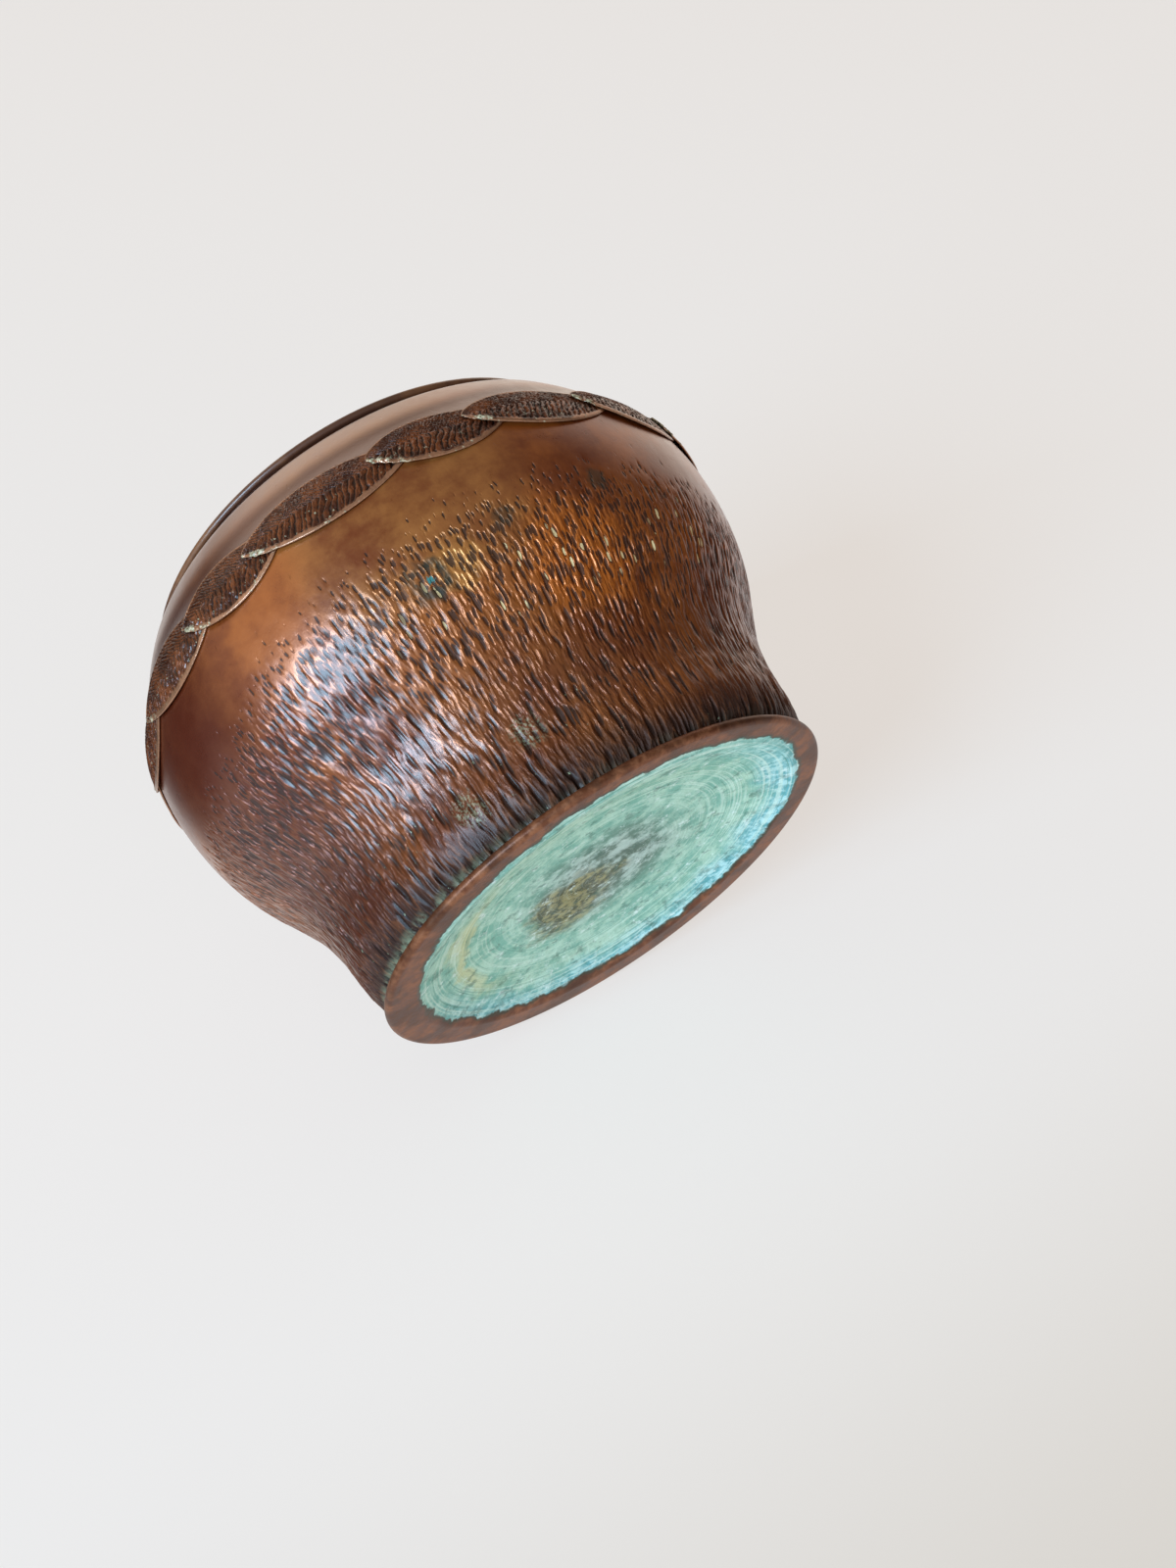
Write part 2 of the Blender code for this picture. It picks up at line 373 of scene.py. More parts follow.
def near(tree, place, spot, size, ragged):
    """1 at a spot and 0 beyond its size, with a ragged edge."""
    off = put(tree, "ShaderNodeVectorMath", place, spot, operation="DISTANCE", out="Value")
    stir = either_way(tree, cloud(tree, place, size * 0.6, 3.0), ragged)
    return ease(tree, calc(tree, "ADD", off, stir), size * 0.55, size, 1.0, 0.0)


def make_copper():
    """Waxed brown patina, lighter on rubbed ridges and near black in the marks; painted reflections and
    glints.
    """
    made, tree, shader, place = new_material("hammered_copper", 1.0, 0.3)
    wall = unrolled(tree, place)
    height = put(tree, "ShaderNodeSeparateXYZ", place, out="Z")
    outside = stored(tree, "outside")
    depth, sunk, below, bright = struck(tree, place, STRIKES, STRIKE_SEED)

    broad = cloud(tree, wall, 34 * MM, 4.0, 0.55, 0.31)
    small = cloud(tree, wall, 6 * MM, 5.0, 0.65, 0.12)
    grain = cloud(tree, wall, 0.9 * MM, 3.0, 0.6, 0.05)
    tone = calc(tree, "ADD", times(tree, broad, 0.7), times(tree, small, 0.3))
    colour = blend(tree, ease(tree, tone, 0.38, 0.62), (0.16, 0.029, 0.005, 1), (0.33, 0.084, 0.012, 1))
    # A gold-brown band on the side facing azimuth 8, above the marks: partly worn metal, mostly a painted
    # reflection of the warm ceiling.
    golden_reflection = ease(tree, facing(tree, place, 8), 0.91, 0.99)
    golden_reflection = times(tree, golden_reflection, ease(tree, tone, 0.28, 0.56))
    golden_reflection = times(tree, golden_reflection, ease(tree, height, 58 * MM, 78 * MM, 0.12, 0.6))
    colour = blend(tree, golden_reflection, colour, (0.44, 0.18, 0.045, 1))
    bare = near(tree, place, on_wall(10, 69), 9 * MM, 12 * MM)
    colour = blend(tree, times(tree, bare, 0.6), colour, (0.56, 0.24, 0.055, 1))
    amber = near(tree, place, on_wall(30, 58), 21 * MM, 22 * MM)
    colour = blend(tree, times(tree, amber, 0.75), colour, (0.52, 0.13, 0.014, 1))
    ruddy = ease(tree, facing(tree, place, -52), 0.90, 1.0)
    colour = blend(tree, times(tree, ruddy, 0.85), colour, (0.085, 0.011, 0.004, 1))
    high = ease(tree, height, 108 * MM, 115 * MM)
    high = times(tree, high, ease(tree, height, 120 * MM, 126 * MM, 1.0, 0.0))
    colour = blend(tree, times(tree, high, 0.85), colour, (0.07, 0.013, 0.004, 1))
    # A lighter pinkish brown from the shoulder up to the lip: a painted reflection of the bright light
    # above.
    shoulder_reflection = times(tree, ease(tree, height, 120 * MM, 127 * MM), outside)
    colour = blend(tree, times(tree, shoulder_reflection, 0.6), colour, (0.24, 0.12, 0.07, 1))
    # Darker towards the bottom of the belly.
    darker_below = ease(tree, height, 24 * MM, 64 * MM, 0.42, 0.0)
    colour = blend(tree, darker_below, colour, (0.055, 0.014, 0.005, 1))
    low = times(tree, ease(tree, height, 6 * MM, 20 * MM, 1.0, 0.0), 0.85)
    colour = blend(tree, low, colour, (0.022, 0.008, 0.004, 1))
    pit = times(tree, ease(tree, sunk, 0.42, 0.80), ease(tree, below, -4 * MM, 2 * MM))
    ridge = times(tree, ease(tree, sunk, 0.0, 0.3, 1.0, 0.0), ease(tree, below, 0.0, 16 * MM))
    colour = blend(tree, times(tree, ridge, 0.25), colour, (0.34, 0.11, 0.035, 1))
    colour = blend(tree, times(tree, pit, 0.86), colour, (0.020, 0.006, 0.003, 1))
    speck = ease(tree, cloud(tree, place, 1.3 * MM, 2.0, 0.6, 0.4), 0.66, 0.72)
    speck = times(tree, speck, pit, ease(tree, height, 18 * MM, 46 * MM, 1.0, 0.0))
    # Pale cream specks in some marks on the side facing azimuth 34: partly dried polish, partly painted
    # glints of the window.
    polish_and_glint = times(tree, bright, ease(tree, facing(tree, place, 34), 0.72, 0.95))
    ring_spot = on_wall(4.8, 68.5)
    stain = near(tree, place, ring_spot, 7.5 * MM, 9 * MM)
    stain = calc(tree, "SUBTRACT", stain, near(tree, place, ring_spot, 4.6 * MM, 9 * MM))
    for spot, strength in ((on_wall(20.6, 74.7), 0.6), (on_wall(40, 77), 0.7)):
        smudge = times(tree, near(tree, place, spot, 4.0 * MM, 5 * MM), strength)
        stain = calc(tree, "MAXIMUM", stain, smudge)
    stain = times(tree, stain, 0.85)
    colour = blend(tree, stain, colour, (0.020, 0.024, 0.014, 1))
    teal = near(tree, place, ring_spot, 1.3 * MM, 3.5 * MM)
    colour = blend(tree, teal, colour, (0.04, 0.20, 0.19, 1))
    crease = ease(tree, height, 3.6 * MM, 7.5 * MM, 1.0, 0.0)
    crease = times(tree, crease, ease(tree, small, 0.42, 0.58))
    crease = times(tree, crease, ease(tree, facing(tree, place, -70), 0.35, 0.95, 0.05, 0.5))
    chalk = calc(tree, "MAXIMUM", times(tree, speck, 0.8), times(tree, crease, outside))
    for spot in (on_wall(-13.5, 16), on_wall(4.8, 24)):
        patch = near(tree, place, spot, 6 * MM, 6 * MM)
        patch = times(tree, patch, ease(tree, grain, 0.45, 0.6), 0.35)
        chalk = calc(tree, "MAXIMUM", chalk, patch)
    colour = blend(tree, chalk, colour, (0.42, 0.48, 0.30, 1))
    # Painted glints, partly dried polish, in the marks.
    colour = blend(tree, times(tree, polish_and_glint, 0.9), colour, (0.80, 0.60, 0.30, 1))
    dull = blend(tree, ease(tree, tone, 0.4, 0.6), (0.10, 0.034, 0.016, 1), (0.22, 0.085, 0.032, 1))
    colour = blend(tree, outside, dull, colour)
    tree.links.new(colour, shader.inputs["Base Color"])

    covered = calc(tree, "MAXIMUM", calc(tree, "MAXIMUM", chalk, teal), polish_and_glint)
    solid = calc(tree, "SUBTRACT", 1.0, covered)
    solid = times(tree, solid, ease(tree, ridge, 0.0, 1.0, 0.32, 0.50))
    tree.links.new(solid, shader.inputs["Metallic"])
    dulled = calc(tree, "MAXIMUM", stain, chalk)
    inner = calc(tree, "SUBTRACT", 1.0, outside)
    gloss = ease(tree, small, 0.3, 0.7, 0.27, 0.37)
    for share, rougher in ((pit, 0.38), (dulled, 0.3), (low, 0.4), (inner, 0.25)):
        gloss = calc(tree, "ADD", gloss, times(tree, share, rougher))
    tree.links.new(gloss, shader.inputs["Roughness"])
    wax = ease(tree, height, 8 * MM, 26 * MM, 0.16, 0.75)
    tree.links.new(wax, shader.inputs["Coat Weight"])
    shader.inputs["Coat Roughness"].default_value = 0.26
    shader.inputs["Specular IOR Level"].default_value = 0.38
    shader.inputs["Coat IOR"].default_value = 1.5

    cut = bump(tree, times(tree, depth, outside, -1.0))
    pocks = ease(tree, height, 6 * MM, 24 * MM, 1.1 * MM, 0.10 * MM)
    skin = calc(tree, "ADD", times(tree, grain, 0.045 * MM), times(tree, small, pocks))
    tree.links.new(bump(tree, skin, under=cut), shader.inputs["Normal"])
    return made


curl = arc(LIP_CENTRE, CURL_RADIUS, 185, 450, 30)
fall = smooth_line([tuple(curl[-1]), *NECK, *WALL, *FLANGE], 50)
swell = np.clip((fall[:, 1] - SWELL_START) / SWELL_RISE, 0, 1)
fall[:, 0] += SWELL * np.sin(np.pi * swell) ** 2
face = np.vstack([curl, fall[1:]])
heading = np.gradient(face, axis=0)
heading /= np.linalg.norm(heading, axis=1)[:, None]
walked = np.concatenate([[0], np.cumsum(np.linalg.norm(np.diff(face, axis=0), axis=1))])
curl_end = walked[len(curl) - 1]
sheet = np.interp(walked, [curl_end + 2.5, curl_end + 7], [LIP_SHEET, BODY_SHEET])
back = face + np.stack([heading[:, 1], -heading[:, 0]], 1) * sheet[:, None]

gap_heights = [3.2, 3.4, STRUCK_TOP, STRUCK_TOP + 2, 128, 134]
face_gap = np.interp(face[:, 1], gap_heights, [0.5, 1.3, 1.3, 2.2, 2.2, 0.6])
back_gap = np.interp(back[:, 1], [3.0, 8.0, 128, 134], [0.8, 3.6, 3.6, 0.6])
face_rows = picked(face, face_gap)
back_rows = picked(back, back_gap)[::-1]
rows = np.vstack([face[face_rows], back[back_rows]])
columns = [STRUCK_COLUMNS if 3.0 < face[i][1] < STRUCK_TOP else SMOOTH_COLUMNS for i in face_rows]
columns += [SMOOTH_COLUMNS] * len(back_rows)
outer = [1.0] * len(face_rows) + [0.0] * len(back_rows)
mesh = turned_shell("raised_body", rows, columns)
mark_points(mesh, "outside", np.repeat(outer, columns))
copper = make_copper()
body = worked("raised_body", mesh, make_hammering(), STRIKES, copper)
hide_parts("bowl_body")
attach(body, "root")

# ---- The base ------------------------------------------------------------------------------
# A disc of copper, dished upwards in the middle and folded up and over the body's flange. The
# bowl stands on the worn brown ring; the hollow inside it has never been rubbed, so it is thick with
# verdigris, laid in rings by the water that stood there.

FOOT_RADIUS = 77.3
BASE_SHEET = 0.8
FOLD_RADIUS = 1.6
FOLD_EDGE = FOOT_RADIUS - FOLD_RADIUS - 0.8
RECESS_RADIUS = 67.2
RECESS_DEPTH = 6.4
MIDDLE_RADIUS = 0.02
RING_RADIUS = 60
CRUST_RADIUS = 67.3
CRUST_SHIFT = 3.8
CRUST_RAGGED = 7
CRUST = {
    "Crust height": 0.32 * MM,
    "Crust grain": 2.6 * MM,
    "Streak width": 1.6 * MM,
    "Streak height": 0.10 * MM,
}


def recess_height(radius):
    """Height of the dished underside in mm."""
    inward = max(0.0, 1.0 - radius / RECESS_RADIUS)
    return RECESS_DEPTH * (1.0 - (1.0 - min(1.0, inward * 2.2)) ** 2)


def crust_edge(tree, place, out_of):
    """How far inside the crust's ragged edge each place is, in metres."""
    stir = either_way(tree, cloud(tree, place, 9 * MM, 4.0, 0.6, 0.23), CRUST_RAGGED * MM)
    shifted = times(tree, facing(tree, place, 28), CRUST_SHIFT * MM)
    edge = calc(tree, "ADD", calc(tree, "ADD", CRUST_RADIUS * MM, shifted), stir)
    return calc(tree, "SUBTRACT", edge, out_of)


def radius_of(tree, place):
    """Distance from the bowl's axis."""
    level = put(tree, "ShaderNodeVectorMath", place, (1, 1, 0), operation="MULTIPLY")
    return put(tree, "ShaderNodeVectorMath", level, operation="LENGTH", out="Value")


def rings(tree, place, width, length, shift):
    """Noise drawn out into rings round the axis."""
    out = outward(tree, place)
    turns = RING_RADIUS * MM / length
    stretch = put(tree, "ShaderNodeVectorMath", out, operation="SCALE", inputs={"Scale": turns})
    radius = calc(tree, "DIVIDE", radius_of(tree, place), width)
    lift = put(tree, "ShaderNodeCombineXYZ", 0.0, 0.0, radius)
    drawn = put(tree, "ShaderNodeVectorMath", stretch, lift, operation="ADD")
    return cloud(tree, drawn, 1.0, 4.0, 0.6, shift)


def make_crusting():
    """A geometry tree that builds the verdigris up on the underside of the hollow."""
    tree, given = open_tree("crusting", CRUST)
    place = put(tree, "GeometryNodeInputPosition")
    out_of = radius_of(tree, place)
    inside = ease(tree, crust_edge(tree, place, out_of), 0.0, 0.8 * MM)
    finer = calc(tree, "DIVIDE", 1.0, given.outputs["Crust grain"])
    feeds = {"Vector": place, "Scale": finer, "Detail": 3.0}
    lumps = ease(tree, put(tree, "ShaderNodeTexNoise", inputs=feeds), 0.35, 0.75)
    rim = ease(tree, out_of, 50 * MM, 64 * MM, 0.35, 1.0)
    height = times(tree, lumps, rim, given.outputs["Crust height"])
    streak = rings(tree, place, given.outputs["Streak width"], 40 * MM, 0.6)
    height = calc(tree, "ADD", height, times(tree, streak, given.outputs["Streak height"]))
    inside = times(tree, inside, ease(tree, out_of, 65.8 * MM, 67.0 * MM, 1.0, 0.0))
    close_tree(tree, given, times(tree, height, inside, stored(tree, "below")))
    return tree


def make_verdigris():
    """Blue crust at the edge, green inside it, a yellow ring, an olive brown middle, a brown rim with a
    painted shadow line along the crust.
    """
    made, tree, shader, place = new_material("verdigris_copper", 0.0, 0.8)
    out_of = radius_of(tree, place)
    below = stored(tree, "below")
    mottle = cloud(tree, place, 16 * MM, 5.0, 0.6, 0.4)
    patch = cloud(tree, place, 8 * MM, 6.0, 0.7, 0.6)
    small = cloud(tree, place, 3.2 * MM, 5.0, 0.65, 0.2)
    grain = cloud(tree, place, 0.7 * MM, 3.0, 0.6, 0.1)
    streak = rings(tree, place, 0.8 * MM, 60 * MM, 0.3)
    outer = ease(tree, out_of, 26 * MM, 52 * MM, 0.25, 1.0)
    spread = calc(tree, "ADD", out_of, either_way(tree, mottle, 22 * MM))
    colour = blend(tree, ease(tree, patch, 0.38, 0.62), (0.20, 0.45, 0.36, 1), (0.42, 0.66, 0.54, 1))
    middle = ease(tree, spread, 12 * MM, 38 * MM, 1.0, 0.0)
    murk = blend(tree, ease(tree, patch, 0.42, 0.58), (0.095, 0.12, 0.095, 1), (0.42, 0.53, 0.50, 1))
    colour = blend(tree, times(tree, middle, 0.85), colour, murk)
    lime = ease(tree, spread, 47 * MM, 51 * MM)
    lime = times(tree, lime, ease(tree, spread, 52 * MM, 57 * MM, 1.0, 0.0))
    lime = times(tree, lime, ease(tree, facing(tree, place, -75), 0.6, 0.99, 0.06, 0.7))
    colour = blend(tree, lime, colour, (0.60, 0.60, 0.32, 1))
    around = ease(tree, facing(tree, place, 165), -0.6, 0.5, 0.2, 0.95)
    blue = times(tree, ease(tree, spread, 53 * MM, 64 * MM), around)
    teal = blend(tree, ease(tree, small, 0.40, 0.60), (0.10, 0.36, 0.40, 1), (0.42, 0.70, 0.72, 1))
    colour = blend(tree, blue, colour, teal)
    olive = near(tree, place, (-11 * MM, 6 * MM, 6 * MM), 22 * MM, 34 * MM)
    ochre = blend(tree, ease(tree, small, 0.42, 0.60), (0.075, 0.075, 0.04, 1), (0.32, 0.29, 0.13, 1))
    colour = blend(tree, times(tree, olive, 0.88), colour, ochre)
    pale = times(tree, ease(tree, streak, 0.52, 0.62), outer, 0.55)
    colour = blend(tree, pale, colour, (0.62, 0.80, 0.70, 1))
    flecks = ease(tree, cloud(tree, place, 4.5 * MM, 6.0, 0.75, 1.4), 0.57, 0.66)
    colour = blend(tree, times(tree, flecks, 0.75), colour, (0.68, 0.82, 0.79, 1))
    deep = times(tree, ease(tree, streak, 0.32, 0.43, 1.0, 0.0), outer, 0.65)
    colour = blend(tree, deep, colour, (0.10, 0.27, 0.21, 1))
    dark = ease(tree, cloud(tree, place, 6 * MM, 5.0, 0.7, 0.9), 0.54, 0.66)
    colour = blend(tree, times(tree, dark, 0.55), colour, (0.07, 0.15, 0.12, 1))
    rim = blend(tree, ease(tree, small, 0.35, 0.7), (0.12, 0.036, 0.014, 1), (0.26, 0.10, 0.045, 1))
    worn = ease(tree, mottle, 0.46, 0.60)
    rim = blend(tree, times(tree, worn, 0.65), rim, (0.045, 0.016, 0.008, 1))
    outline = crust_edge(tree, place, out_of)
    # A dark green line just outside the crust's edge: a painted shadow of the raised crust.
    crust_edge_shadow = times(tree, ease(tree, outline, -1.6 * MM, -0.2 * MM), below, 0.75)
    rim = blend(tree, crust_edge_shadow, rim, (0.030, 0.050, 0.034, 1))
    crusted = times(tree, ease(tree, outline, -0.2 * MM, 0.6 * MM), below)
    colour = blend(tree, crusted, rim, colour)
    tree.links.new(colour, shader.inputs["Base Color"])
    bare = calc(tree, "SUBTRACT", 1.0, crusted)
    tree.links.new(times(tree, bare, 0.35), shader.inputs["Metallic"])
    rubbed = ease(tree, small, 0.3, 0.7, 0.34, 0.48)
    gloss = calc(tree, "ADD", times(tree, bare, rubbed), times(tree, crusted, 0.82))
    tree.links.new(gloss, shader.inputs["Roughness"])
    shader.inputs["Specular IOR Level"].default_value = 0.3
    bumps = calc(tree, "ADD", times(tree, small, 0.65 * MM), times(tree, grain, 0.2 * MM))
    bumps = calc(tree, "ADD", bumps, times(tree, streak, 0.3 * MM))
    bumps = times(tree, bumps, ease(tree, crusted, 0.0, 1.0, 0.25, 1.0))
    tree.links.new(bump(tree, bumps, 0.8), shader.inputs["Normal"])
    return made


fold_centre = (FOOT_RADIUS - FOLD_RADIUS, FOLD_RADIUS)
upper_radii = np.linspace(MIDDLE_RADIUS, RECESS_RADIUS, 26)
upper_line = [(radius, recess_height(radius) + BASE_SHEET) for radius in upper_radii]
inner_fold = arc(fold_centre, FOLD_RADIUS - BASE_SHEET, -90, 90, 8)
lip_in = (FOLD_EDGE, 2 * FOLD_RADIUS - BASE_SHEET)
lip_out = (FOLD_EDGE, 2 * FOLD_RADIUS)
outer_fold = arc(fold_centre, FOLD_RADIUS, 90, -90, 16)
ring_line = [(radius, 0.0) for radius in np.linspace(FOLD_EDGE, RECESS_RADIUS + 0.8, 9)]
lower_radii = np.linspace(RECESS_RADIUS, MIDDLE_RADIUS, 84)
lower_line = [(radius, recess_height(radius)) for radius in lower_radii]
rows = [*upper_line, *inner_fold, lip_in, lip_out, *outer_fold, *ring_line, *lower_line]
first_below = len(rows) - len(lower_line) - len(ring_line)
columns = [90] * len(upper_line) + [180] * (len(inner_fold) + 1)
columns += [360] * (len(rows) - len(columns))
rows = rows[::-1]
columns = columns[::-1]
under = [1.0] * (len(rows) - first_below) + [0.0] * first_below
mesh = turned_shell("folded_base", rows, columns)
mark_points(mesh, "below", np.repeat(under, columns))
base = worked("folded_base", mesh, make_crusting(), CRUST, make_verdigris())
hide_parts("base_plate")
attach(base, "root")

# ---- Solder in the seam and wire in the lip ---------------------------------------------------
# A fillet of soft tin solder, run in from inside, seals the wall to the base. The lip is stiffened by
# a drawn brass wire that the sheet is curled round. Both are the CAD's own pieces, given their finish.


def make_plain_metal(name, dark, light, roughness, size):
    """A dull metal with cloudy tarnish and a fine cast or drawn skin."""
    made, tree, shader, place = new_material(name, 1.0, roughness)
    tarnish = cloud(tree, place, size, 5.0, 0.65)
    colour = blend(tree, ease(tree, tarnish, 0.35, 0.65), (*dark, 1), (*light, 1))
    tree.links.new(colour, shader.inputs["Base Color"])
    gloss = ease(tree, tarnish, 0.3, 0.7, roughness + 0.15, roughness - 0.05)
    tree.links.new(gloss, shader.inputs["Roughness"])
    skin = times(tree, cloud(tree, place, size * 0.2, 3.0, 0.6, 0.3), 0.15 * MM)
    tree.links.new(bump(tree, skin, 0.8), shader.inputs["Normal"])
    return made


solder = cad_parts["seam_solder"]
solder.material_slots[0].material = make_plain_metal(
    "soft_solder", (0.16, 0.16, 0.15), (0.46, 0.46, 0.44), 0.5, 6 * MM
)
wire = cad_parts["mouth_wire"]
wire.material_slots[0].material = make_plain_metal(
    "brass_wire", (0.22, 0.12, 0.04), (0.52, 0.36, 0.14), 0.38, 4 * MM
)

# ---- The leaves ----------------------------------------------------------------------------
# Seventeen laurel leaves cut from copper sheet, veined with a chasing tool, laid tip over root round
# the shoulder and soldered down. Solder and verdigris have gathered in lumps under the tips.

LEAF_COUNT = 17
LEAF_PITCHES = (22.0, 16.5, 24.7, 17.4, 22.2, 24.0)
FIRST_NOTCH = -52.0
TIP_REACH = 4.5
ROOT_REACH = 2.5
TIP_HEIGHT = 108.7
ROOT_HEIGHT = 106.0
LEAF_HALF_WIDTH = 9.0
LEAF_SHEET = 0.6
LEAF_SHEET_SHOWN = 0.45
LEAF_GAP = 0.25
LEAF_SINK = 0.30
LEAF_LEAN = 0.10
LEAF_DOME = 0.44
EDGE_ROLL = 0.16
SHOULDER_RADIUS = 99
LEAF_CELLS = (150, 48)
VEINS = {
    "Vein pitch": 1.9 * MM,
    "Vein slant": 0.5,
    "Vein depth": 0.55 * MM,
    "Border": 1.3 * MM,
    "Lump height": 0.42 * MM,
}


def leaf_sheet(name, tip, span):
    """A leaf's outer face as a grid on the shoulder, with its own lengths stored on the points."""
    steps = [np.linspace(0, 1, LEAF_CELLS[0] + 1), np.linspace(-1, 1, LEAF_CELLS[1] + 1)]
    along, across = np.meshgrid(*steps, indexing="ij")
    centre = ROOT_HEIGHT + (TIP_HEIGHT - ROOT_HEIGHT) * (1 - along) ** 2
    half = np.maximum(0.6, LEAF_HALF_WIDTH * np.abs(np.sin(np.pi * along)) ** 0.6)
    height = centre + across * half
    wall = smooth_line(WALL, 40)
    slope = np.gradient(wall, axis=0)
    slope /= np.linalg.norm(slope, axis=1)[:, None]
    radius = np.interp(-height, -wall[:, 1], wall[:, 0])
    out_r = np.interp(-height, -wall[:, 1], -slope[:, 1])
    out_z = np.interp(-height, -wall[:, 1], slope[:, 0])
    overlap = TIP_REACH + ROOT_REACH
    settle = np.clip((along * span - overlap) / (span - 2 * overlap), 0, 1)
    raised = 2 * LEAF_GAP + LEAF_SHEET
    lift = raised + (LEAF_GAP - raised) * settle + LEAF_SHEET - LEAF_SINK - LEAF_LEAN * across
    lift = lift + LEAF_DOME * (1 - across**2) * np.sin(np.pi * along)
    lift = lift - EDGE_ROLL * np.clip((-across - 0.7) / 0.3, 0, 1) ** 2
    angle = np.radians(tip + along * span)
    reach = radius + out_r * lift
    places = np.stack([reach * np.sin(angle), -reach * np.cos(angle), height + out_z * lift], -1)
    mesh = bpy.data.meshes.new(name)
    wide = LEAF_CELLS[1] + 1
    faces = []
    for i in range(LEAF_CELLS[0]):
        for j in range(LEAF_CELLS[1]):
            corner = i * wide + j
            faces.append((corner, corner + wide, corner + wide + 1, corner + 1))
    mesh.from_pydata((places.reshape(-1, 3) * MM).tolist(), [], faces)
    mesh.shade_smooth()
    mark_points(mesh, "from_tip", (along * span * math.radians(SHOULDER_RADIUS)).ravel() * MM)
    mark_points(mesh, "from_rib", (across * half).ravel() * MM)
    mark_points(mesh, "to_edge", ((1 - np.abs(across)) * half).ravel() * MM)
    return mesh


def leaf_relief(tree, place, sizes):
    """Veins, border and lumps of a leaf: its height in metres, the grooves and the lumps."""
    along = stored(tree, "from_tip")
    rib = stored(tree, "from_rib")
    edge = stored(tree, "to_edge")
    off_rib = calc(tree, "ABSOLUTE", rib)
    stir = either_way(tree, cloud(tree, place, 4 * MM, 3.0, 0.6, 0.7), 4.4 * MM)
    swept = ease(tree, rib, -0.8 * MM, 1.6 * MM, 1.0, 3.4)
    slanted = times(tree, off_rib, times(tree, swept, sizes["Vein slant"]))
    phase = calc(tree, "ADD", calc(tree, "ADD", along, slanted), stir)
    phase = calc(tree, "DIVIDE", phase, sizes["Vein pitch"])
    wave = calc(tree, "ABSOLUTE", calc(tree, "SINE", times(tree, phase, math.pi)))
    between = times(tree, calc(tree, "ADD", phase, 0.4), math.tau)
    half_wave = calc(tree, "ABSOLUTE", calc(tree, "SINE", between))
    groove = ease(tree, wave, 0.12, 0.80, 1.0, 0.0)
    nick = times(tree, ease(tree, half_wave, 0.0, 0.6, 1.0, 0.0), 0.6)
    groove = calc(tree, "MAXIMUM", groove, nick)
    lower = ease(tree, rib, -0.5 * MM, 0.5 * MM, 1.0, 0.0)
    border = times(tree, sizes["Border"], ease(tree, lower, 0.0, 1.0, 0.12, 1.0))
    inside = ease(tree, calc(tree, "SUBTRACT", edge, border), -0.1 * MM, 0.5 * MM)
    groove = times(tree, groove, inside)
    height = times(tree, groove, sizes["Vein depth"], -1.0)
    bead = calc(tree, "SUBTRACT", 1.0, inside)
    height = calc(tree, "ADD", height, times(tree, bead, 0.12 * MM))
    lump_noise = cloud(tree, place, 2.3 * MM, 3.0, 0.6, 0.5)
    tip = times(tree, ease(tree, along, 3 * MM, 17 * MM, 1.0, 0.0), lower)
    tip = times(tree, tip, ease(tree, edge, 0.8 * MM, 4.5 * MM, 1.0, 0.0))
    lump = ease(tree, calc(tree, "ADD", lump_noise, times(tree, tip, 0.23)), 0.68, 0.76)
    lump = times(tree, lump, tip)
    height = calc(tree, "ADD", height, times(tree, lump, sizes["Lump height"]))
    return height, groove, lump


def make_veining():
    """A geometry tree that chases the veins into a leaf and adds its border and its lumps."""
    tree, given = open_tree("veining", VEINS)
    sizes = {name: given.outputs[name] for name in VEINS}
    place = put(tree, "GeometryNodeInputPosition")
    height, _, _ = leaf_relief(tree, place, sizes)
    close_tree(tree, given, height)
    return tree


